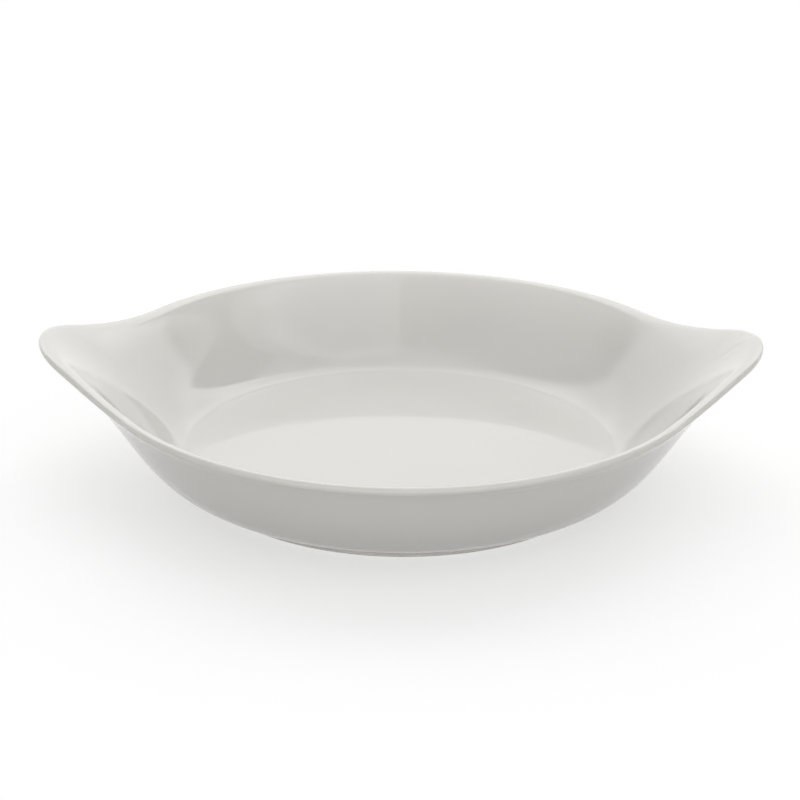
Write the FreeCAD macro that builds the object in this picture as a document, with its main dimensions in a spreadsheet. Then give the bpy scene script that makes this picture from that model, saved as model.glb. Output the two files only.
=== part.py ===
import FreeCAD
import Part
import Sketcher

import math
import os

# Round gratin dish of white porcelain, its rim drawn out into two ears that serve as handles.
# Millimetres, +Z up, ears along X, origin in the middle of the plane that the foot ring stands on.

SIZES = {
    "bowl_width": 187.2,  # across the round rim, over the lip
    "rim_height": 35.4,  # of the round rim midway between the ears, before its inner edge is rolled off
    "rim_sway": 1.3,  # how much higher the round rim runs at the ears
    "lip_thickness": 3.0,
    "wall_lean_angle": 36.6,  # of the wall at the lip, in degrees from level
    "ear_reach": 16.4,  # of each ear beyond the round rim
    "ear_rise": 8.4,  # of each ear's tip above the round rim there
    "ear_tip_radius": 27.7,  # of the ear's end seen from above, over the lip
    "ear_hollow_radius": 235.5,  # of the slight hollow from the ear's end into the round rim, over the lip
    "base_thickness": 5.5,
    "foot_diameter": 124.3,
    "foot_height": 3.2,  # of the ring below the base
    "foot_width": 4.2,
    "foot_edge_radius": 0.5,
    "foot_corner_radius": 1.0,  # between the ring's inner side and the base
    "bare_strip": 0.3,  # of the ring's sides above its rounded edges, left without glaze
    "glaze_thickness": 0.3,
}

# How hard the wall's spine is pulled along the floor and along the lip's direction before it turns,
# as shares of the wall's width and of its slanting length.
FLOOR_PULL_SHARE = 0.57
LIP_PULL_SHARE = 0.19

# Where along the wall's spine the foot ring's hollow runs into the wall.
FOOT_BLEND_SHARE = 0.12

# Where along the wall's spine the floor's bend runs into the wall's inner side, and how far the level floor
# reaches from the foot ring's side towards the corner that the bend rounds off, as a share.
FLOOR_BEND_SHARE = 0.4
FLOOR_EDGE_SHARE = 0.47

# Where along the wall's spine its inner side begins to roll over to the lip's end, and how hard the roll
# is pulled along its two sides: the share that makes a quarter of an ellipse.
LIP_ROLL_SHARE = 0.94
QUARTER_PULL_SHARE = 0.5523

# Step along the wall's spine over which its inner side's slope is measured.
SHARE_STEP = 0.01

# Counts of rings that the skins are drawn through, and of ring points in a quarter turn.
BLEND_RINGS = 5
WALL_RINGS = 14
LIP_RINGS = 5
ROLL_RINGS = 9
BEND_RINGS = 9
ROUNDING_RINGS = 5
QUARTER_POINTS = 24

# The ring points crowd towards the ears: their bearings grow with this power of their number.
CROWDING_POWER = 1.5


def make_sheet(doc):
    """Spreadsheet with one named cell for each driving size."""
    sheet = doc.addObject("Spreadsheet::Sheet", "sizes")
    for row, (alias, value) in enumerate(SIZES.items(), start=1):
        sheet.set(f"A{row}", alias)
        sheet.set(f"B{row}", str(value))
        sheet.setAlias(f"B{row}", alias)
    doc.recompute()
    return sheet


def ring_bearings():
    """Bearings of the ring points over a full turn, crowded at both ears."""
    quarter = [math.pi / 2 * (k / QUARTER_POINTS) ** CROWDING_POWER for k in range(QUARTER_POINTS + 1)]
    half = quarter + [math.pi - bearing for bearing in reversed(quarter[:-1])]
    return half[:-1] + [math.pi + bearing for bearing in half[:-1]]


BEARINGS = ring_bearings()


def bezier(points, share):
    """Point at a share of the way along a curve led by its control points."""
    while len(points) > 1:
        points = [
            tuple(a + (b - a) * share for a, b in zip(start, end))
            for start, end in zip(points, points[1:])
        ]
    return points[0]


class DishSection:
    """The dish's section at any bearing, as points (radius, height).

    A wall of given thickness is bent along a spine that leaves the floor level and ends at the lip.
    Towards an ear the spine is drawn outwards and lifted, with the cube of its share of the way up.
    """

    def __init__(self, sheet):
        size = {alias: float(sheet.get(alias)) for alias in SIZES}
        self.lip_half = size["lip_thickness"] / 2
        self.base_half = size["base_thickness"] / 2
        self.glaze = size["glaze_thickness"]

        self.rim_radius = size["bowl_width"] / 2 - self.lip_half
        self.ear_reach = size["ear_reach"]
        self.ear_rise = size["ear_rise"]
        self.rim_sway = size["rim_sway"]
        self.tip_radius = size["ear_tip_radius"] - self.lip_half
        self.hollow_radius = size["ear_hollow_radius"] + self.lip_half

        self.foot_radius = size["foot_diameter"] / 2
        self.foot_inner_radius = self.foot_radius - size["foot_width"]
        self.foot_height = size["foot_height"]
        self.foot_edge = size["foot_edge_radius"]
        self.foot_corner = size["foot_corner_radius"]
        self.glaze_line = self.foot_edge + size["bare_strip"]

        start = (self.foot_radius, self.foot_height + self.base_half)
        end = (self.rim_radius, size["rim_height"] - self.lip_half)
        width = end[0] - start[0]
        slant = math.hypot(width, end[1] - start[1])
        lean = math.radians(size["wall_lean_angle"])
        self.spine_poles = [
            start,
            (start[0] + FLOOR_PULL_SHARE * width, start[1]),
            (
                end[0] - LIP_PULL_SHARE * slant * math.cos(lean),
                end[1] - LIP_PULL_SHARE * slant * math.sin(lean),
            ),
            end,
        ]

    def ear_draw(self, bearing):
        """How far the lip is drawn out of the round rim: a round tip, then a hollow that runs into the rim."""
        turn = math.acos(min(abs(math.cos(bearing)), 1))
        tip_centre = self.rim_radius + self.ear_reach - self.tip_radius
        hollow_centre = self.rim_radius + self.hollow_radius
        apart = self.tip_radius + self.hollow_radius
        hollow_turn = math.acos(
            (hollow_centre**2 + tip_centre**2 - apart**2) / (2 * hollow_centre * tip_centre)
        )
        if turn >= hollow_turn:
            return 0
        share = self.tip_radius / apart
        tip_turn = math.atan2(
            hollow_centre * math.sin(hollow_turn) * share,
            tip_centre + (hollow_centre * math.cos(hollow_turn) - tip_centre) * share,
        )
        if turn >= tip_turn:
            across = hollow_centre * math.sin(hollow_turn - turn)
            along = hollow_centre * math.cos(hollow_turn - turn)
            return along - math.sqrt(self.hollow_radius**2 - across**2) - self.rim_radius
        across = tip_centre * math.sin(turn)
        along = tip_centre * math.cos(turn)
        return along + math.sqrt(self.tip_radius**2 - across**2) - self.rim_radius

    def ear_lift(self, bearing):
        """How far the lip is lifted above the lowest rim: the rim's slow sway, then the climb out to the ear."""
        climb = self.ear_rise * self.ear_draw(bearing) / self.ear_reach
        return climb + self.rim_sway * math.cos(bearing) ** 2

    def spine(self, share, bearing):
        """Point of the wall's spine, its direction towards the lip and its direction outwards."""
        draw = self.ear_draw(bearing)
        lift = self.ear_lift(bearing)
        radius, height = bezier(self.spine_poles, share)
        point = (radius + draw * share**3, height + lift * share**3)
        poles = self.spine_poles
        slopes = [(b[0] - a[0], b[1] - a[1]) for a, b in zip(poles, poles[1:])]
        run, climb = bezier(slopes, share)
        run += draw * share**2
        climb += lift * share**2
        length = math.hypot(run, climb)
        along = (run / length, climb / length)
        return point, along, (along[1], -along[0])

    def half_thickness(self, share):
        """Half of the wall, which thins towards the lip."""
        return self.lip_half + (self.base_half - self.lip_half) * (1 - share) ** 2

    def outer(self, share, inset):
        """Outer side of the wall at a share of its spine, set in by a layer."""

        def place(bearing):
            point, _, out = self.spine(share, bearing)
            reach = self.half_thickness(share) - inset
            return point[0] + out[0] * reach, point[1] + out[1] * reach

        return place

    def inner(self, share, inset):
        """Inner side of the wall at a share of its spine, set in by a layer."""

        def place(bearing):
            point, _, out = self.spine(share, bearing)
            reach = self.half_thickness(share) - inset
            return point[0] - out[0] * reach, point[1] - out[1] * reach

        return place

    def lip(self, turn, inset):
        """Quarter round of the lip, from its outer side at turn 0 to its end at a quarter turn."""

        def place(bearing):
            point, along, out = self.spine(1, bearing)
            reach = self.lip_half - inset
            cosine = math.cos(turn) * reach
            sine = math.sin(turn) * reach
            return point[0] + out[0] * cosine + along[0] * sine, point[1] + out[1] * cosine + along[1] * sine

        return place

    def lip_roll(self, share, inset):
        """Longer roll from the lip's end over to the wall's inner side."""

        def place(bearing):
            _, _, out = self.spine(1, bearing)
            end = self.lip(math.pi / 2, inset)(bearing)
            root, along, _ = self.spine(LIP_ROLL_SHARE, bearing)
            foot = self.inner(LIP_ROLL_SHARE, inset)(bearing)
            across = (self.lip_half - inset) * QUARTER_PULL_SHARE
            length = math.dist(root, end) * QUARTER_PULL_SHARE
            poles = [
                end,
                (end[0] - out[0] * across, end[1] - out[1] * across),
                (foot[0] + along[0] * length, foot[1] + along[1] * length),
                foot,
            ]
            return bezier(poles, share)

        return place

    def foot_blend(self, share, inset):
        """Hollow that runs from the foot ring's upright side at the glaze line into the wall's outer side."""

        def place(bearing):
            radius = self.foot_radius - inset
            end = self.outer(FOOT_BLEND_SHARE, inset)(bearing)
            _, along, _ = self.spine(FOOT_BLEND_SHARE, bearing)
            corner = (radius, end[1] - (end[0] - radius) * along[1] / along[0])
            return bezier([(radius, self.glaze_line), corner, end], share)

        return place

    def floor_bend(self, share, inset):
        """Bend that runs from the level floor's edge into the wall's inner side."""

        def place(bearing):
            floor = self.inner(0, inset)(bearing)[1]
            end = self.inner(FLOOR_BEND_SHARE, inset)(bearing)
            beyond = self.inner(FLOOR_BEND_SHARE + SHARE_STEP, inset)(bearing)
            corner = end[0] - (end[1] - floor) * (beyond[0] - end[0]) / (beyond[1] - end[1])
            edge = self.foot_radius + (corner - self.foot_radius) * FLOOR_EDGE_SHARE
            return bezier([(edge, floor), (corner, floor), end], share)

        return place


def ring(place):
    """Closed smooth wire through the points that a rule of the bearing gives."""
    points = []
    for bearing in BEARINGS:
        radius, height = place(bearing)
        points.append(FreeCAD.Vector(radius * math.cos(bearing), radius * math.sin(bearing), height))
    curve = Part.BSplineCurve()
    turn = BEARINGS + [BEARINGS[0] + 2 * math.pi]
    curve.interpolate(Points=points, PeriodicFlag=True, Parameters=turn)
    return Part.Wire([curve.toShape()])


def skin(places):
    """Smooth faces through a run of rings."""
    return Part.makeLoft([ring(place) for place in places], False, False).Faces


def flat_ring(outside, inside):
    """Level face between two rings."""
    return Part.makeFace([ring(outside), ring(inside)], "Part::FaceMakerBullseye")


def steps(count, first, last):
    """Evenly spaced values, both ends included."""
    return [first + (last - first) * k / (count - 1) for k in range(count)]


def coat_skin(section, inset):
    """Faces from the glaze line on the foot over the outside, the lip and the inside to the whole floor."""
    blend = [section.foot_blend(share, inset) for share in steps(BLEND_RINGS, 0, 1)]
    outside = [section.outer(share, inset) for share in steps(WALL_RINGS, FOOT_BLEND_SHARE, 1)]
    lip = [section.lip(turn, inset) for turn in steps(LIP_RINGS, 0, math.pi / 2)]
    roll = [section.lip_roll(share, inset) for share in steps(ROLL_RINGS, 0, 1)]
    inside = [section.inner(share, inset) for share in steps(WALL_RINGS, LIP_ROLL_SHARE, FLOOR_BEND_SHARE)]
    bend = [section.floor_bend(share, inset) for share in steps(BEND_RINGS, 1, 0)]
    floor = Part.Face(ring(section.floor_bend(0, inset)))
    return skin(blend) + skin(outside) + skin(lip) + skin(roll) + skin(inside) + skin(bend) + [floor]


def foot_skin(section):
    """Faces of the bare foot ring and of the recess inside it."""
    edge = section.foot_edge
    corner = section.foot_corner
    outside = section.foot_radius - section.glaze
    inside = section.foot_inner_radius
    height = section.foot_height

    def level(radius, above):
        return lambda bearing: (radius, above)

    def rounding(centre_radius, centre_height, radius, first, last):
        turns = [math.radians(angle) for angle in steps(ROUNDING_RINGS, first, last)]
        return [
            level(centre_radius + radius * math.cos(turn), centre_height + radius * math.sin(turn))
            for turn in turns
        ]

    outer_edge = rounding(outside - edge, edge, edge, 0, -90)
    inner_edge = rounding(inside + edge, edge, edge, 270, 180)
    inner_corner = rounding(inside - corner, height - corner, corner, 0, 90)
    outer_side = [level(outside, section.glaze_line), outer_edge[0]]
    inner_side = [inner_edge[-1], inner_corner[0]]
    standing = flat_ring(outer_edge[-1], inner_edge[0])
    ceiling = Part.Face(ring(inner_corner[-1]))
    faces = [standing, ceiling]
    for places in (outer_side, outer_edge, inner_edge, inner_side, inner_corner):
        faces += skin(places)
    return faces


def closed_solid(faces):
    """Solid inside faces that meet at their edges."""
    shell = Part.makeCompound(faces)
    shell.sewShape()
    solid = Part.makeSolid(shell.Shells[0])
    if solid.Volume < 0:
        solid.reverse()
    return solid


def add_feature(doc, label, shape):
    """Document object that carries a shape made from the sheet's sizes."""
    feature = doc.addObject("Part::Feature", label)
    feature.Label = label
    feature.Shape = shape
    feature.Placement = FreeCAD.Placement()
    return feature


def make_porcelain_body(doc, section):
    """Fired body: everything inside the glaze, with the bare foot ring."""
    faces = coat_skin(section, section.glaze) + foot_skin(section)
    return add_feature(doc, "porcelain_body", closed_solid(faces))


def make_glaze_coat(doc, section):
    """Glaze over the inside, the lip and the outside, ending square at the glaze line on the foot."""
    end = flat_ring(section.foot_blend(0, 0), section.foot_blend(0, section.glaze))
    faces = coat_skin(section, 0) + coat_skin(section, section.glaze) + [end]
    return add_feature(doc, "glaze_coat", closed_solid(faces))


def make_base_glaze(doc, section):
    """Glaze in the recess: a disc that turns down the foot ring's inner side to the glaze line."""
    body = doc.addObject("PartDesign::Body", "base_glaze")
    body.Label = "base_glaze"
    plane = next(item for item in body.Origin.OriginFeatures if item.Role == "XZ_Plane")
    sketch = body.newObject("Sketcher::SketchObject", "base_glaze_profile")
    sketch.AttachmentSupport = [(plane, "")]
    sketch.MapMode = "FlatFace"

    wall = section.foot_inner_radius
    top = section.foot_height
    corner = section.foot_corner
    coat = section.glaze
    line = section.glaze_line

    def point(across, up):
        return FreeCAD.Vector(across, up, 0)

    def rounding(radius):
        centre = point(wall - corner, top - corner)
        circle = Part.Circle(centre, FreeCAD.Vector(0, 0, 1), radius)
        return Part.ArcOfCircle(circle, 0, math.pi / 2)

    corners = [
        (point(0, top), point(wall - corner, top)),
        (point(wall, top - corner), point(wall, line)),
        (point(wall, line), point(wall - coat, line)),
        (point(wall - coat, line), point(wall - coat, top - corner)),
        (point(wall - corner, top - coat), point(0, top - coat)),
        (point(0, top - coat), point(0, top)),
    ]
    ceiling, outer_side, rim, inner_side, face, axis = [
        sketch.addGeometry(Part.LineSegment(start, end)) for start, end in corners
    ]
    outer_round = sketch.addGeometry(rounding(corner))
    inner_round = sketch.addGeometry(rounding(corner - coat))

    start, end, centre = 1, 2, 3
    origin, upright_axis = -1, -2
    constraint = Sketcher.Constraint
    for line_id in (ceiling, rim, face):
        sketch.addConstraint(constraint("Horizontal", line_id))
    for line_id in (outer_side, inner_side, axis):
        sketch.addConstraint(constraint("Vertical", line_id))
    for first, first_end, second, second_end in (
        (outer_side, end, rim, start),
        (rim, end, inner_side, start),
        (face, end, axis, start),
        (axis, end, ceiling, start),
        (outer_round, centre, inner_round, centre),
    ):
        sketch.addConstraint(constraint("Coincident", first, first_end, second, second_end))
    for first, first_end, second, second_end in (
        (ceiling, end, outer_round, end),
        (outer_round, start, outer_side, start),
        (inner_side, end, inner_round, start),
        (inner_round, end, face, start),
    ):
        sketch.addConstraint(constraint("Tangent", first, first_end, second, second_end))
    sketch.addConstraint(constraint("PointOnObject", axis, start, upright_axis))

    def bind(kind, target, value, expression):
        index = sketch.addConstraint(constraint(kind, *target, value))
        sketch.setExpression(f"Constraints[{index}]", expression)

    bind("Radius", (outer_round,), corner, "sizes.foot_corner_radius")
    bind("DistanceX", (origin, start, outer_side, end), wall, "sizes.foot_diameter / 2 - sizes.foot_width")
    bind("DistanceX", (rim, end, rim, start), coat, "sizes.glaze_thickness")
    bind("DistanceY", (origin, start, axis, end), top, "sizes.foot_height")
    bind("DistanceY", (origin, start, rim, start), line, "sizes.foot_edge_radius + sizes.bare_strip")

    turned = body.newObject("PartDesign::Revolution", "base_glaze_turned")
    turned.Profile = sketch
    turned.ReferenceAxis = (sketch, ["V_Axis"])
    turned.Angle = 360
    body.Placement = FreeCAD.Placement()
    return body


def check(doc, parts):
    """Stops where an object failed or a sub-part has no sound solid."""
    for item in doc.Objects:
        if "Invalid" in item.State or "Error" in item.State:
            raise RuntimeError(f"{item.Name} failed: {item.State}")
    for part in parts:
        if part.Shape.isNull() or not part.Shape.isValid() or len(part.Shape.Solids) != 1:
            raise RuntimeError(f"{part.Label} is not one sound solid")


def main():
    doc = FreeCAD.newDocument("gratin_dish")
    sheet = make_sheet(doc)
    section = DishSection(sheet)
    parts = [make(doc, section) for make in (make_porcelain_body, make_glaze_coat, make_base_glaze)]
    doc.recompute()
    check(doc, parts)
    os.makedirs("parts", exist_ok=True)
    for part in parts:
        print(f"{part.Label}: {part.Shape.Volume:.0f} cubic millimetres")
        part.Shape.exportStep(os.path.join("parts", f"{part.Label}.step"))


main()
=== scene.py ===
import math

import bpy
from mathutils import Matrix, Vector


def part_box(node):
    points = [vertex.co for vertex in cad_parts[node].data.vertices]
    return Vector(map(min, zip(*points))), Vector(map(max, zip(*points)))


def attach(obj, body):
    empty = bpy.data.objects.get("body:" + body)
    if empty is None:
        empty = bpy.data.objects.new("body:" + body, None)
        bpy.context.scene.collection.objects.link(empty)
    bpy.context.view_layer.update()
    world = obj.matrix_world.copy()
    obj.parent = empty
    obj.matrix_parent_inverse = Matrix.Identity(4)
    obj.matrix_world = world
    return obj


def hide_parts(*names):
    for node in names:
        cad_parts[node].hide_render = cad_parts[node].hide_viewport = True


# White porcelain gratin dish with two drawn-out ears, in metres: +Z up, ears along X, standing on Z = 0.

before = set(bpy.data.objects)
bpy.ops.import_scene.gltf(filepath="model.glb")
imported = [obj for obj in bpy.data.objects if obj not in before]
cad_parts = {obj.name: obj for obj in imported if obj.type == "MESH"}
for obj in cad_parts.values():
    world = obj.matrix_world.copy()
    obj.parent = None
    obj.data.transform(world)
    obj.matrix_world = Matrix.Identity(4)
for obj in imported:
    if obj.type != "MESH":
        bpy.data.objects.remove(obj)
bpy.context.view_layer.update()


# Sizes: what the frame doesn't hold is repeated from the part's own driving dimensions.

coat_low, coat_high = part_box("glaze_coat")
_, recess_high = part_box("base_glaze")

LIP_THICKNESS = 0.0030
BASE_THICKNESS = 0.0055
GLAZE_THICKNESS = 0.0003
RIM_HEIGHT = 0.0354
RIM_SWAY = 0.0013
WALL_LEAN = math.radians(36.6)
EAR_RISE = 0.0084
EAR_TIP_RADIUS = 0.0277
EAR_HOLLOW_RADIUS = 0.2355
FOOT_DIAMETER = 0.1243
FOOT_WIDTH = 0.0042
FOOT_CORNER_RADIUS = 0.0010

FLOOR_PULL_SHARE = 0.57
LIP_PULL_SHARE = 0.19
FOOT_BLEND_SHARE = 0.12
LIP_ROLL_SHARE = 0.94
QUARTER_PULL_SHARE = 0.5523
FLOOR_BEND_SHARE = 0.4
FLOOR_EDGE_SHARE = 0.47
SHARE_STEP = 0.01
QUARTER_TURN = math.pi / 2
FULL_TURN = 2 * math.pi

DISH = {
    "rim radius": coat_high[1] - LIP_THICKNESS / 2,
    "rim height": RIM_HEIGHT - LIP_THICKNESS / 2,
    "lip half": LIP_THICKNESS / 2,
    "base half": BASE_THICKNESS / 2,
    "wall lean": WALL_LEAN,
    "ear reach": coat_high[0] - coat_high[1],
    "ear rise": EAR_RISE,
    "rim sway": RIM_SWAY,
    "tip radius": EAR_TIP_RADIUS - LIP_THICKNESS / 2,
    "hollow radius": EAR_HOLLOW_RADIUS + LIP_THICKNESS / 2,
    "foot radius": FOOT_DIAMETER / 2,
    "foot height": recess_high[2],
    "glaze line": coat_low[2],
    "glaze thickness": GLAZE_THICKNESS,
}


class Value:
    """A quantity in a node tree; sums and products written with it add Math nodes."""

    def __init__(self, nodes, socket):
        self.nodes = nodes
        self.socket = socket

    def math(self, operation, *operands):
        return self.nodes.add("ShaderNodeMath", {"operation": operation}, dict(enumerate(operands)))

    def __add__(self, other):
        return self.math("ADD", self, other)

    def __radd__(self, other):
        return self.math("ADD", other, self)

    def __sub__(self, other):
        return self.math("SUBTRACT", self, other)

    def __rsub__(self, other):
        return self.math("SUBTRACT", other, self)

    def __mul__(self, other):
        return self.math("MULTIPLY", self, other)

    def __rmul__(self, other):
        return self.math("MULTIPLY", other, self)

    def __truediv__(self, other):
        return self.math("DIVIDE", self, other)

    def __rtruediv__(self, other):
        return self.math("DIVIDE", other, self)

    def __pow__(self, other):
        return self.math("POWER", self, other)


class Nodes:
    """Adds nodes to one tree."""

    def __init__(self, tree):
        self.tree = tree

    def feed(self, socket, value):
        """Links a value to a socket, several values to a joining one, or sets a plain number on it."""
        if isinstance(value, list):
            for item in value:
                self.feed(socket, item)
        elif isinstance(value, Value):
            self.tree.links.new(value.socket, socket)
        else:
            socket.default_value = value

    def add(self, kind, settings=None, sockets=None, output=0):
        """A node of a kind, its settings made first, then its sockets; gives the named output."""
        node = self.tree.nodes.new(kind)
        for name, setting in (settings or {}).items():
            setattr(node, name, setting)
        for key, value in (sockets or {}).items():
            self.feed(node.inputs[key], value)
        return Value(self, node.outputs[output])


def sine(angle):
    return angle.math("SINE", angle)


def cosine(angle):
    return angle.math("COSINE", angle)


def square_root(value):
    return value.math("SQRT", value)


def larger(first, second):
    return first.math("MAXIMUM", first, second)


def smaller(first, second):
    return first.math("MINIMUM", first, second)


def clamped(value):
    """A value kept from 0 to 1."""
    return smaller(larger(value, 0), 1)


def between(start, end, share):
    return start + (end - start) * share


def eased(value, start, end):
    """0 before start, 1 after end, and a smooth passage between them."""
    return value.nodes.add(
        "ShaderNodeMapRange",
        {"interpolation_type": "SMOOTHSTEP"},
        {"Value": value, "From Min": start, "From Max": end},
    )


NOISE_MIDDLE = 0.5


def noise(nodes, place, scale, detail):
    """Soft pattern from 0 to 1, as much above its middle as below."""
    return nodes.add("ShaderNodeTexNoise", sockets={"Vector": place, "Scale": scale, "Detail": detail})


# The dish's rule: the same section, at every bearing, as the solid part has.


class DishRule:
    """Radius and height of the dish's skins, as node values of a bearing and a share of the way."""

    def __init__(self, size, bearing, inset):
        self.size = size
        self.inset = inset
        facing = bearing.math("ABSOLUTE", cosine(bearing))
        self.turn = facing.math("ARCCOSINE", smaller(facing, 1))
        self.draw = self.ear_draw()
        self.lift = size["ear rise"] * self.draw / size["ear reach"] + size["rim sway"] * facing**2
        width = size["rim radius"] - size["foot radius"]
        self.low = size["foot height"] + size["base half"]
        rise = size["rim height"] - self.low
        pull = square_root(width * width + rise * rise) * LIP_PULL_SHARE
        self.radii = [
            size["foot radius"],
            size["foot radius"] + width * FLOOR_PULL_SHARE,
            size["rim radius"] - pull * cosine(size["wall lean"]),
            size["rim radius"],
        ]
        self.heights = [
            self.low,
            self.low,
            size["rim height"] - pull * sine(size["wall lean"]),
            size["rim height"],
        ]
        self.bend = self.make_bend()

    def ear_draw(self):
        """How far the lip is drawn out of the round rim: a round tip, then a hollow into the rim."""
        size = self.size
        tip = size["tip radius"]
        hollow = size["hollow radius"]
        tip_centre = size["rim radius"] + size["ear reach"] - tip
        hollow_centre = size["rim radius"] + hollow
        apart = tip + hollow
        lean = (hollow_centre**2 + tip_centre**2 - apart**2) / (hollow_centre * tip_centre * 2)
        hollow_turn = lean.math("ARCCOSINE", lean)
        share = tip / apart
        tip_turn = lean.math(
            "ARCTAN2",
            hollow_centre * sine(hollow_turn) * share,
            tip_centre + (hollow_centre * cosine(hollow_turn) - tip_centre) * share,
        )
        back = larger(hollow_turn - self.turn, 0)
        hollow_across = hollow_centre * sine(back)
        hollow_depth = square_root(larger(hollow**2 - hollow_across**2, 0))
        on_hollow = hollow_centre * cosine(back) - hollow_depth
        tip_across = tip_centre * sine(self.turn)
        tip_depth = square_root(larger(tip**2 - tip_across**2, 0))
        on_tip = tip_centre * cosine(self.turn) + tip_depth
        at_tip = lean.math("LESS_THAN", self.turn, tip_turn)
        return between(on_hollow, on_tip, at_tip) - size["rim radius"]

    def along(self, poles, share):
        """Point and slope at a share of a curve with four poles."""
        rest = 1 - share
        point = (
            poles[0] * rest**3
            + poles[1] * (3 * share * rest**2)
            + poles[2] * (3 * share**2 * rest)
            + poles[3] * share**3
        )
        slope = (
            (poles[1] - poles[0]) * rest**2
            + (poles[2] - poles[1]) * (2 * share * rest)
            + (poles[3] - poles[2]) * share**2
        )
        return point, slope

    def spine(self, share):
        """Point of the wall's spine and its direction towards the lip."""
        radius, run = self.along(self.radii, share)
        height, climb = self.along(self.heights, share)
        run = run + self.draw * share**2
        climb = climb + self.lift * share**2
        length = square_root(run * run + climb * climb)
        cube = share**3
        return radius + self.draw * cube, height + self.lift * cube, run / length, climb / length

    def reach(self, share):
        """Half of the wall, which thins towards the lip, less the layer it is set in by."""
        size = self.size
        return size["lip half"] + (size["base half"] - size["lip half"]) * (1 - share) ** 2 - self.inset

    def outer(self, share):
        radius, height, run, climb = self.spine(share)
        reach = self.reach(share)
        return radius + climb * reach, height - run * reach

    def inner(self, share):
        radius, height, run, climb = self.spine(share)
        reach = self.reach(share)
        return radius - climb * reach, height + run * reach

    def outside(self, share):
        """Outer side of the wall, from where the foot's hollow ends up to the lip."""
        return self.outer(share * (1 - FOOT_BLEND_SHARE) + FOOT_BLEND_SHARE)

    def inside(self, share):
        """Inner side of the wall, from the foot of the lip's roll down to the floor's bend."""
        return self.inner(share * (FLOOR_BEND_SHARE - LIP_ROLL_SHARE) + LIP_ROLL_SHARE)

    def lip(self, share):
        """Quarter round of the lip, from its outer side to its end."""
        turn = share * QUARTER_TURN
        radius, height, run, climb = self.spine(1)
        reach = self.reach(1)
        out = cosine(turn) * reach
        over = sine(turn) * reach
        return radius + climb * out + run * over, height - run * out + climb * over

    def lip_roll(self, share):
        """Longer roll from the lip's end over to the wall's inner side."""
        radius, height, run, climb = self.spine(1)
        reach = self.reach(1)
        end_radius = radius + run * reach
        end_height = height + climb * reach
        root_radius, root_height, low_run, low_climb = self.spine(LIP_ROLL_SHARE)
        low_reach = self.reach(LIP_ROLL_SHARE)
        foot_radius = root_radius - low_climb * low_reach
        foot_height = root_height + low_run * low_reach
        across = reach * QUARTER_PULL_SHARE
        span = square_root((end_radius - root_radius) ** 2 + (end_height - root_height) ** 2)
        length = span * QUARTER_PULL_SHARE
        radii = [end_radius, end_radius - climb * across, foot_radius + low_run * length, foot_radius]
        heights = [end_height, end_height + run * across, foot_height + low_climb * length, foot_height]
        return self.along(radii, share)[0], self.along(heights, share)[0]

    def foot_blend(self, share):
        """Hollow from the foot ring's upright side at the glaze line into the wall's outer side."""
        end_radius, end_height = self.outer(FOOT_BLEND_SHARE)
        _, _, run, climb = self.spine(FOOT_BLEND_SHARE)
        radius = self.size["foot radius"] - self.inset
        corner = end_height - (end_radius - radius) * climb / run
        rest = 1 - share
        along = radius * (1 - share**2) + end_radius * share**2
        up = self.size["glaze line"] * rest**2 + corner * (2 * share * rest) + end_height * share**2
        return along, up

    def make_bend(self):
        """Radii where the floor's bend begins, turns and ends, and heights of its end and the floor."""
        end_radius, end_height = self.inner(FLOOR_BEND_SHARE)
        beyond_radius, beyond_height = self.inner(FLOOR_BEND_SHARE + SHARE_STEP)
        floor = self.low + self.size["base half"] - self.inset
        run = beyond_radius - end_radius
        climb = beyond_height - end_height
        corner = end_radius - (end_height - floor) * run / climb
        edge = between(self.size["foot radius"], corner, FLOOR_EDGE_SHARE)
        return edge, corner, end_radius, end_height, floor

    def floor_bend(self, share):
        """Bend from the wall's inner side down to the level floor's edge."""
        edge, corner, end_radius, end_height, floor = self.bend
        rest = 1 - share
        along = end_radius * rest**2 + corner * (2 * share * rest) + edge * share**2
        return along, floor + (end_height - floor) * rest**2

    def floor(self, share):
        """Level floor, from its edge to the middle."""
        edge, _, _, _, floor = self.bend
        return edge * (1 - share), floor


# Meshes that follow a rule, made with Geometry Nodes.

BEARING_STEPS = 288
EAR_CROWDING = 0.36
MERGE_DISTANCE = 0.000004
CREASE_ANGLE = math.radians(40)
GRID_HALF = 0.5

# Rings of points in each stretch of the coat, of the recess's glaze and of the strips that end them.
COAT_RINGS = {
    "foot hollow": 7,
    "outside": 30,
    "lip": 9,
    "lip roll": 16,
    "inside": 28,
    "floor bend": 14,
    "floor": 36,
}
RECESS_RINGS = {"face": 10, "corner": 8, "side": 4}
END_RINGS = 2

# Unevenness of the glaze all over.
WAVE_HEIGHT = 0.00009
WAVE_SCALE = 42.0
WAVE_DETAIL = 2
WAVE_SEED = 7.3

# Ripples in the glaze on the right ear, behind its middle, longer along the ear than across.
RIPPLE_PLACE = (0.1025, 0.0080, 0.0422)
RIPPLE_SPREAD = 0.015
RIPPLE_HEIGHT = 0.0006
RIPPLE_SCALE = 330.0
RIPPLE_DETAIL = 0
RIPPLE_STRETCH = (0.35, 1, 1)


def new_tree(name, sizes):
    """Empty geometry tree with one named input for each size, and its group input values."""
    tree = bpy.data.node_groups.new(name, "GeometryNodeTree")
    for size in sizes:
        tree.interface.new_socket(size, in_out="INPUT", socket_type="NodeSocketFloat")
    tree.interface.new_socket("Geometry", in_out="OUTPUT", socket_type="NodeSocketGeometry")
    nodes = Nodes(tree)
    inputs = tree.nodes.new("NodeGroupInput")
    return nodes, {size: Value(nodes, inputs.outputs[size]) for size in sizes}


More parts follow.
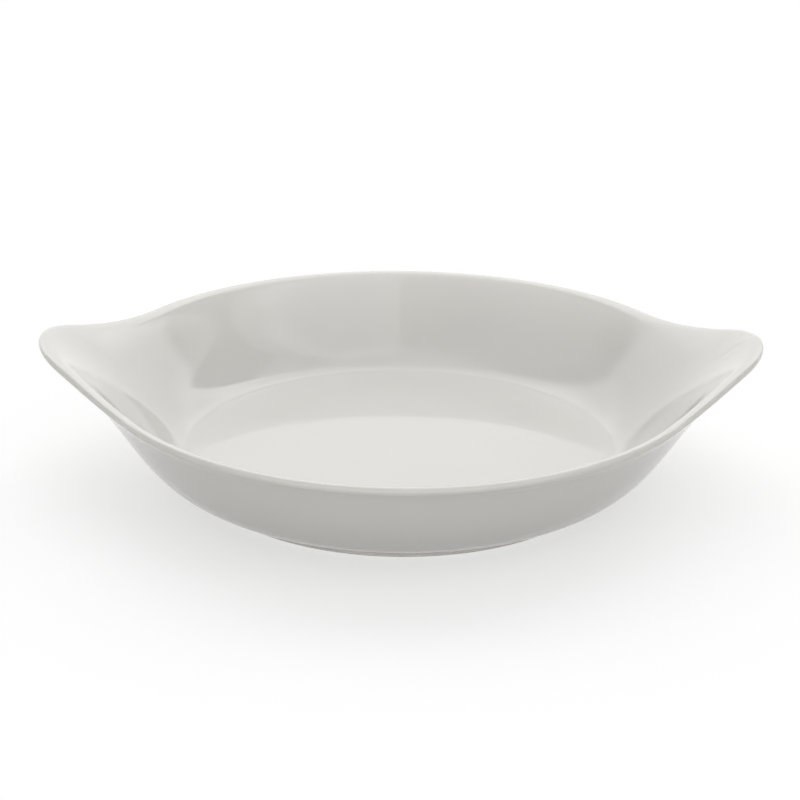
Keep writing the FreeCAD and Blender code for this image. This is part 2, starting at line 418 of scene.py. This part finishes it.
def grid_shares(nodes):
    """Shares of the way along and across a unit grid, which lies about its middle."""
    place = nodes.add("GeometryNodeInputPosition")
    along = nodes.add("ShaderNodeSeparateXYZ", sockets={"Vector": place}, output="X")
    across = nodes.add("ShaderNodeSeparateXYZ", sockets={"Vector": place}, output="Y")
    return along + GRID_HALF, across + GRID_HALF


def turned_skin(nodes, rings, bearing, radius, height, edge=None):
    """Mesh of rings about the dish's axis, at a radius and height; edge marks those on the lip."""
    mesh = nodes.add(
        "GeometryNodeMeshGrid",
        sockets={"Size X": 1, "Size Y": 1, "Vertices X": BEARING_STEPS + 1, "Vertices Y": rings},
    )
    if edge is not None:
        mesh = nodes.add(
            "GeometryNodeStoreNamedAttribute",
            {"data_type": "FLOAT", "domain": "POINT"},
            {"Geometry": mesh, "Name": "lip", "Value": edge},
        )
    place = nodes.add(
        "ShaderNodeCombineXYZ",
        sockets={"X": radius * cosine(bearing), "Y": radius * sine(bearing), "Z": height},
    )
    return nodes.add("GeometryNodeSetPosition", sockets={"Geometry": mesh, "Position": place})


def crowded_bearing(along):
    """Bearing that runs slowest over the ears, so that their tips get the closest points."""
    return along * FULL_TURN - sine(along * (2 * FULL_TURN)) * EAR_CROWDING


def joined(nodes, meshes):
    """One mesh, its seams closed."""
    together = nodes.add("GeometryNodeJoinGeometry", sockets={"Geometry": meshes})
    return nodes.add(
        "GeometryNodeMergeByDistance", sockets={"Geometry": together, "Distance": MERGE_DISTANCE}
    )


def finished(nodes, mesh, material):
    """Smooth faces with sharp creases, realized, with their material, sent to the tree's output."""
    angle = nodes.add("GeometryNodeInputMeshEdgeAngle")
    crease = angle.math("GREATER_THAN", angle, CREASE_ANGLE)
    mesh = nodes.add(
        "GeometryNodeSetShadeSmooth", {"domain": "FACE"}, {"Geometry": mesh, "Shade Smooth": True}
    )
    mesh = nodes.add(
        "GeometryNodeSetShadeSmooth",
        {"domain": "EDGE"},
        {"Geometry": mesh, "Selection": crease, "Shade Smooth": False},
    )
    mesh = nodes.add("GeometryNodeRealizeInstances", sockets={"Geometry": mesh})
    mesh = nodes.add("GeometryNodeSetMaterial", sockets={"Geometry": mesh, "Material": material})
    output = nodes.tree.nodes.new("NodeGroupOutput")
    nodes.feed(output.inputs["Geometry"], mesh)


def made_piece(name, nodes, sizes):
    """Plain mesh object from a tree and its sizes."""
    maker = bpy.data.objects.new(f"{name}_maker", bpy.data.meshes.new(f"{name}_maker"))
    bpy.context.collection.objects.link(maker)
    modifier = maker.modifiers.new(name, "NODES")
    modifier.node_group = nodes.tree
    for item in nodes.tree.interface.items_tree:
        if item.in_out == "INPUT":
            modifier[item.identifier] = sizes[item.name]
    shaped = maker.evaluated_get(bpy.context.evaluated_depsgraph_get())
    mesh = bpy.data.meshes.new_from_object(shaped)
    mesh.name = name
    maker.modifiers.remove(modifier)
    bpy.data.objects.remove(maker)
    piece = bpy.data.objects.new(name, mesh)
    bpy.context.collection.objects.link(piece)
    return piece


def coat_skin(nodes, size, inset):
    """One skin of the coat, stretch by stretch: its name, its place and its mark on the lip."""
    along, share = grid_shares(nodes)
    bearing = crowded_bearing(along)
    rule = DishRule(size, bearing, inset)
    turn = share * QUARTER_TURN
    stretches = [
        ("foot hollow", rule.foot_blend(share), None),
        ("outside", rule.outside(share), None),
        ("lip", rule.lip(share), sine(turn)),
        ("lip roll", rule.lip_roll(share), cosine(turn)),
        ("inside", rule.inside(share), None),
        ("floor bend", rule.floor_bend(share), None),
        ("floor", rule.floor(share), None),
    ]
    meshes = [
        turned_skin(nodes, COAT_RINGS[name], bearing, *place, edge=edge) for name, place, edge in stretches
    ]
    return joined(nodes, meshes)


def ear_ripple(nodes, place):
    """Ripples about their place, up and down from 0, none further off."""
    stretched = nodes.add("ShaderNodeVectorMath", {"operation": "MULTIPLY"}, {0: place, 1: RIPPLE_STRETCH})
    ripple = noise(nodes, stretched, RIPPLE_SCALE, RIPPLE_DETAIL)
    distance = nodes.add(
        "ShaderNodeVectorMath", {"operation": "DISTANCE"}, {0: place, 1: RIPPLE_PLACE}, output="Value"
    )
    return (ripple - NOISE_MIDDLE) * (1 - eased(distance, 0, RIPPLE_SPREAD))


def waved(nodes, mesh):
    """The slight unevenness of glazed ware, none at the glaze line, and the ripples on one ear."""
    place = nodes.add("GeometryNodeInputPosition")
    wave = nodes.add(
        "ShaderNodeTexNoise",
        {"noise_dimensions": "4D"},
        {"Vector": place, "W": WAVE_SEED, "Scale": WAVE_SCALE, "Detail": WAVE_DETAIL},
    )
    height = nodes.add("ShaderNodeSeparateXYZ", sockets={"Vector": place}, output="Z")
    clear = clamped(height / DISH["glaze line"] - 1)
    rise = (wave - NOISE_MIDDLE) * clear * WAVE_HEIGHT + ear_ripple(nodes, place) * RIPPLE_HEIGHT
    normal = nodes.add("GeometryNodeInputNormal")
    offset = nodes.add("ShaderNodeVectorMath", {"operation": "SCALE"}, {"Vector": normal, "Scale": rise})
    return nodes.add("GeometryNodeSetPosition", sockets={"Geometry": mesh, "Offset": offset})


def make_glaze_coat(material):
    """Closed coat of glaze over inside, lip and outside."""
    nodes, size = new_tree("glaze coat", DISH)
    along, share = grid_shares(nodes)
    bearing = crowded_bearing(along)
    under_radius = size["foot radius"] - size["glaze thickness"]
    end_radius = between(under_radius, size["foot radius"], share)
    end = turned_skin(nodes, END_RINGS, bearing, end_radius, size["glaze line"])
    shown = waved(nodes, coat_skin(nodes, size, 0))
    under_side = coat_skin(nodes, size, size["glaze thickness"])
    hidden = nodes.add("GeometryNodeFlipFaces", sockets={"Mesh": under_side})
    finished(nodes, joined(nodes, [shown, hidden, end]), material)
    return made_piece("glaze_coat_skin", nodes, DISH)


RECESS = {
    "wall radius": DISH["foot radius"] - FOOT_WIDTH,
    "corner radius": FOOT_CORNER_RADIUS,
    "top height": DISH["foot height"],
    "glaze line": DISH["glaze line"],
    "glaze thickness": GLAZE_THICKNESS,
}


def make_base_glaze(material):
    """Closed disc of glaze in the recess, turned down the foot ring's inner side."""
    nodes, size = new_tree("base glaze", RECESS)
    along, share = grid_shares(nodes)
    bearing = along * FULL_TURN
    flat_radius = size["wall radius"] - size["corner radius"]
    corner_height = size["top height"] - size["corner radius"]

    def skin(inset):
        turn = share * QUARTER_TURN
        bend = size["corner radius"] - inset
        face = flat_radius * share, size["top height"] - inset
        corner = flat_radius + bend * sine(turn), corner_height + bend * cosine(turn)
        side = size["wall radius"] - inset, between(corner_height, size["glaze line"], share)
        stretches = {"face": face, "corner": corner, "side": side}
        meshes = [
            turned_skin(nodes, RECESS_RINGS[name], bearing, *place) for name, place in stretches.items()
        ]
        return joined(nodes, meshes)

    shown = skin(size["glaze thickness"])
    hidden = nodes.add("GeometryNodeFlipFaces", sockets={"Mesh": skin(0)})
    shown_radius = size["wall radius"] - size["glaze thickness"]
    end_radius = between(shown_radius, size["wall radius"], share)
    end = turned_skin(nodes, END_RINGS, bearing, end_radius, size["glaze line"])
    finished(nodes, joined(nodes, [shown, hidden, end]), material)
    return made_piece("base_glaze_skin", nodes, RECESS)


# Finishes.


def new_material(name):
    """Material with its Principled shader, its node maker and the object's coordinates."""
    material = bpy.data.materials.new(name)
    material.use_nodes = True
    shader = material.node_tree.nodes["Principled BSDF"]
    nodes = Nodes(material.node_tree)
    place = nodes.add("ShaderNodeTexCoord", output="Object")
    return material, shader, nodes, place


# Sockets of a Mix node that mixes colours.
MIX_SHARE = 0
MIX_FIRST = 6
MIX_SECOND = 7
MIX_RESULT = 2


def mixed_colour(nodes, share, first, second):
    return nodes.add(
        "ShaderNodeMix",
        {"data_type": "RGBA"},
        {MIX_SHARE: share, MIX_FIRST: first, MIX_SECOND: second},
        output=MIX_RESULT,
    )


def bumped(nodes, height, strength, distance):
    return nodes.add(
        "ShaderNodeBump", sockets={"Strength": strength, "Distance": distance, "Height": height}
    )


GLAZE_WHITE = (0.745, 0.733, 0.697, 1)
GLAZE_THIN = (0.72, 0.700, 0.652, 1)
GLAZE_DEEP = (0.73, 0.721, 0.690, 1)
GLAZE_IOR = 1.55
GLAZE_ROUGHNESS = 0.015
LIP_THINNING = 0.6
CLOUD_SCALE = 28.0
CLOUD_DETAIL = 2.0
CLOUD_CONTRAST = 2
CLOUD_SHIFT = 0.5
SMEAR_SCALE = 90.0
SMEAR_DETAIL = 3.0
SMEAR_ROUGHNESS = 0.04
PEEL_SCALE = 260.0
PEEL_DETAIL = 1.0
PEEL_STRENGTH = 0.05
PEEL_HEIGHT = 0.0002


def glaze_material():
    """Clear gloss over white porcelain: thinner and warmer on the lip, with a faint orange peel."""
    material, shader, nodes, place = new_material("white glaze")
    cloud = noise(nodes, place, CLOUD_SCALE, CLOUD_DETAIL)
    depth = clamped(cloud * CLOUD_CONTRAST - CLOUD_SHIFT)
    colour = mixed_colour(nodes, depth, GLAZE_WHITE, GLAZE_DEEP)
    lip = nodes.add("ShaderNodeAttribute", {"attribute_name": "lip"}, output="Fac")
    colour = mixed_colour(nodes, lip * LIP_THINNING, colour, GLAZE_THIN)
    nodes.feed(shader.inputs["Base Color"], colour)
    smear = noise(nodes, place, SMEAR_SCALE, SMEAR_DETAIL)
    nodes.feed(shader.inputs["Roughness"], smear * SMEAR_ROUGHNESS + GLAZE_ROUGHNESS)
    peel = noise(nodes, place, PEEL_SCALE, PEEL_DETAIL)
    nodes.feed(shader.inputs["Normal"], bumped(nodes, peel, PEEL_STRENGTH, PEEL_HEIGHT))
    shader.inputs["IOR"].default_value = GLAZE_IOR
    return material


BISCUIT_PALE = (0.84, 0.81, 0.75, 1)
BISCUIT_GREY = (0.68, 0.64, 0.57, 1)
BISCUIT_ROUGHNESS = 0.6
GRAIN_SCALE = 900.0
GRAIN_DETAIL = 4.0
GRAIN_SHARE = 0.35
GRAIN_ROUGHNESS = 0.2
GRAIN_STRENGTH = 0.4
GRAIN_HEIGHT = 0.0003
BLOT_SCALE = 70.0
BLOT_DETAIL = 3.0
BLOT_SHARE = 0.5


def biscuit_material():
    """Bare fired porcelain on the foot: matte and gritty, with paler and greyer blots."""
    material, shader, nodes, place = new_material("bare biscuit")
    grain = noise(nodes, place, GRAIN_SCALE, GRAIN_DETAIL)
    blot = noise(nodes, place, BLOT_SCALE, BLOT_DETAIL)
    grey = blot * BLOT_SHARE + grain * GRAIN_SHARE
    nodes.feed(shader.inputs["Base Color"], mixed_colour(nodes, grey, BISCUIT_PALE, BISCUIT_GREY))
    nodes.feed(shader.inputs["Roughness"], grain * GRAIN_ROUGHNESS + BISCUIT_ROUGHNESS)
    nodes.feed(shader.inputs["Normal"], bumped(nodes, grain, GRAIN_STRENGTH, GRAIN_HEIGHT))
    return material


# Floor, light and camera.

FLOOR_SIZE = 8.0
FLOOR_COLOUR = (0.42, 0.42, 0.42, 1)
FLOOR_GLOW = 0.60
WHITE = (1, 1, 1, 1)


def background_ray(nodes):
    """1 for rays that should meet a white background: seen straight, mirrored or through glass."""
    kinds = ("Is Camera Ray", "Is Glossy Ray", "Is Transmission Ray")
    rays = [nodes.add("ShaderNodeLightPath", output=kind) for kind in kinds]
    return larger(larger(rays[0], rays[1]), rays[2])


def make_floor():
    """Pale floor that keeps the dish's shadow."""
    half = FLOOR_SIZE / 2
    corners = [(-half, -half, 0), (half, -half, 0), (half, half, 0), (-half, half, 0)]
    mesh = bpy.data.meshes.new("floor")
    mesh.from_pydata(corners, [], [(0, 1, 2, 3)])
    floor = bpy.data.objects.new("floor", mesh)
    bpy.context.collection.objects.link(floor)
    material = bpy.data.materials.new("pale floor")
    material.use_nodes = True
    nodes = Nodes(material.node_tree)
    material.node_tree.nodes.remove(material.node_tree.nodes["Principled BSDF"])
    matte = nodes.add("ShaderNodeBsdfDiffuse", sockets={"Color": FLOOR_COLOUR})
    glow = nodes.add(
        "ShaderNodeEmission", sockets={"Color": WHITE, "Strength": background_ray(nodes) * FLOOR_GLOW}
    )
    both = nodes.add("ShaderNodeAddShader", sockets={0: matte, 1: glow})
    output = material.node_tree.nodes["Material Output"]
    nodes.feed(output.inputs["Surface"], both)
    mesh.materials.append(material)


# Soft panels of the studio: each one's radiance, then where it begins and ends. A bearing counts to the right
# from straight behind the dish, off is a bearing to either side, and climb is the height above level. An edge
# is its angle and half the width of its soft passage, in degrees. None is no edge.
PANELS = {
    "dome": (0.25, {"climb": ((26, 3), None)}),
    "backdrop": (1.20, {"off": (None, (66, 3)), "climb": (None, (26, 3))}),
    "backdrop middle": (1.37, {"off": (None, (61, 4)), "climb": ((26, 3), (47, 12))}),
    "backdrop top": (1.50, {"off": (None, (55, 8)), "climb": ((42, 8), (71, 5))}),
    "overhead": (0.80, {"climb": ((70, 6), None)}),
    "front table": (2.60, {"off": ((125, 8), None), "climb": (None, (10, 4))}),
    "front low": (1.33, {"off": ((125, 8), None), "climb": ((10, 4), (26, 3))}),
    "side tables": (0.90, {"off": ((66, 3), (125, 8)), "climb": (None, (10, 4))}),
    "right box": (0.68, {"bearing": ((107, 2), (180, 1.5)), "climb": ((37, 3), (76, 3))}),
    "right side": (0.42, {"bearing": ((42, 4), (122, 4)), "climb": ((22, 3), (66, 4))}),
    "left side": (0.28, {"bearing": ((-130, 10), (-78, 6)), "climb": ((27, 4), (70, 6))}),
}
DARK_CARD = {"bearing": ((54, 2), (97, 2)), "climb": ((29, 2), (54, 2))}


def passed(angle, edge):
    """0 before an edge, 1 after it, with a soft passage over it."""
    middle, soft = edge
    return eased(angle, math.radians(middle - soft), math.radians(middle + soft))


def covered(angles, edges):
    """1 where a panel lies, 0 beside it."""
    share = 1
    for name, (start, end) in edges.items():
        if start:
            share = share * passed(angles[name], start)
        if end:
            share = share * (1 - passed(angles[name], end))
    return share


def make_world():
    """Studio of soft panels round the dish, with a dark card before those at its right."""
    world = bpy.data.worlds.new("studio")
    bpy.context.scene.world = world
    world.use_nodes = True
    nodes = Nodes(world.node_tree)
    way = nodes.add("ShaderNodeTexCoord", output="Generated")
    side = nodes.add("ShaderNodeSeparateXYZ", sockets={"Vector": way}, output="X")
    ahead = nodes.add("ShaderNodeSeparateXYZ", sockets={"Vector": way}, output="Y")
    height = nodes.add("ShaderNodeSeparateXYZ", sockets={"Vector": way}, output="Z")
    bearing = side.math("ARCTAN2", side, ahead)
    angles = {
        "bearing": bearing,
        "off": bearing.math("ABSOLUTE", bearing),
        "climb": height.math("ARCSINE", height),
    }
    light = sum(covered(angles, edges) * radiance for radiance, edges in PANELS.values())
    light = light * (1 - covered(angles, DARK_CARD))
    background = world.node_tree.nodes["Background"]
    background.inputs["Color"].default_value = WHITE
    nodes.feed(background.inputs["Strength"], light)


CAMERA_LENS = 117.288
CAMERA_SENSOR = 36.0
CAMERA_NEAREST = 0.01
CAMERA_DISTANCE = 0.8012
CAMERA_ELEVATION = math.radians(21.669)
CAMERA_AZIMUTH = math.radians(-0.504)
CAMERA_ROLL = math.radians(0.584)
CAMERA_TARGET = Vector((0, 0, 0.020))
PHOTO_SIZE = 800
TARGET_PIXEL = (400.69, 413.65)


def make_camera():
    """Camera at the photograph's place, turned so that its target falls on the pixel where it was seen."""
    camera = bpy.data.cameras.new("camera")
    camera.lens = CAMERA_LENS
    camera.sensor_width = CAMERA_SENSOR
    camera.clip_start = CAMERA_NEAREST
    holder = bpy.data.objects.new("camera", camera)
    bpy.context.collection.objects.link(holder)
    level = math.cos(CAMERA_ELEVATION)
    back = Vector(
        (math.sin(CAMERA_AZIMUTH) * level, -math.cos(CAMERA_AZIMUTH) * level, math.sin(CAMERA_ELEVATION))
    )
    flat_right = Vector((math.cos(CAMERA_AZIMUTH), math.sin(CAMERA_AZIMUTH), 0))
    flat_up = back.cross(flat_right)
    right = flat_right * math.cos(CAMERA_ROLL) + flat_up * math.sin(CAMERA_ROLL)
    up = flat_up * math.cos(CAMERA_ROLL) - flat_right * math.sin(CAMERA_ROLL)
    pixel = CAMERA_DISTANCE * CAMERA_SENSOR / CAMERA_LENS / PHOTO_SIZE
    middle = PHOTO_SIZE / 2
    shift_right = right * (middle - TARGET_PIXEL[0]) * pixel
    shift_up = up * (TARGET_PIXEL[1] - middle) * pixel
    place = CAMERA_TARGET + back * CAMERA_DISTANCE
    away = (place - CAMERA_TARGET - shift_right - shift_up).normalized()
    across = up.cross(away).normalized()
    upright = away.cross(across)
    holder.location = place
    holder.rotation_euler = Matrix((across, upright, away)).transposed().to_euler()
    bpy.context.scene.camera = holder


def main():
    glaze = glaze_material()
    coat = make_glaze_coat(glaze)
    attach(coat, "root")
    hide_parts("glaze_coat")
    base = make_base_glaze(glaze)
    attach(base, "root")
    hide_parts("base_glaze")
    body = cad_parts["porcelain_body"]
    body.data.materials.clear()
    body.data.materials.append(biscuit_material())

    make_floor()
    make_world()
    make_camera()
    bpy.context.scene.view_settings.view_transform = "Standard"


main()
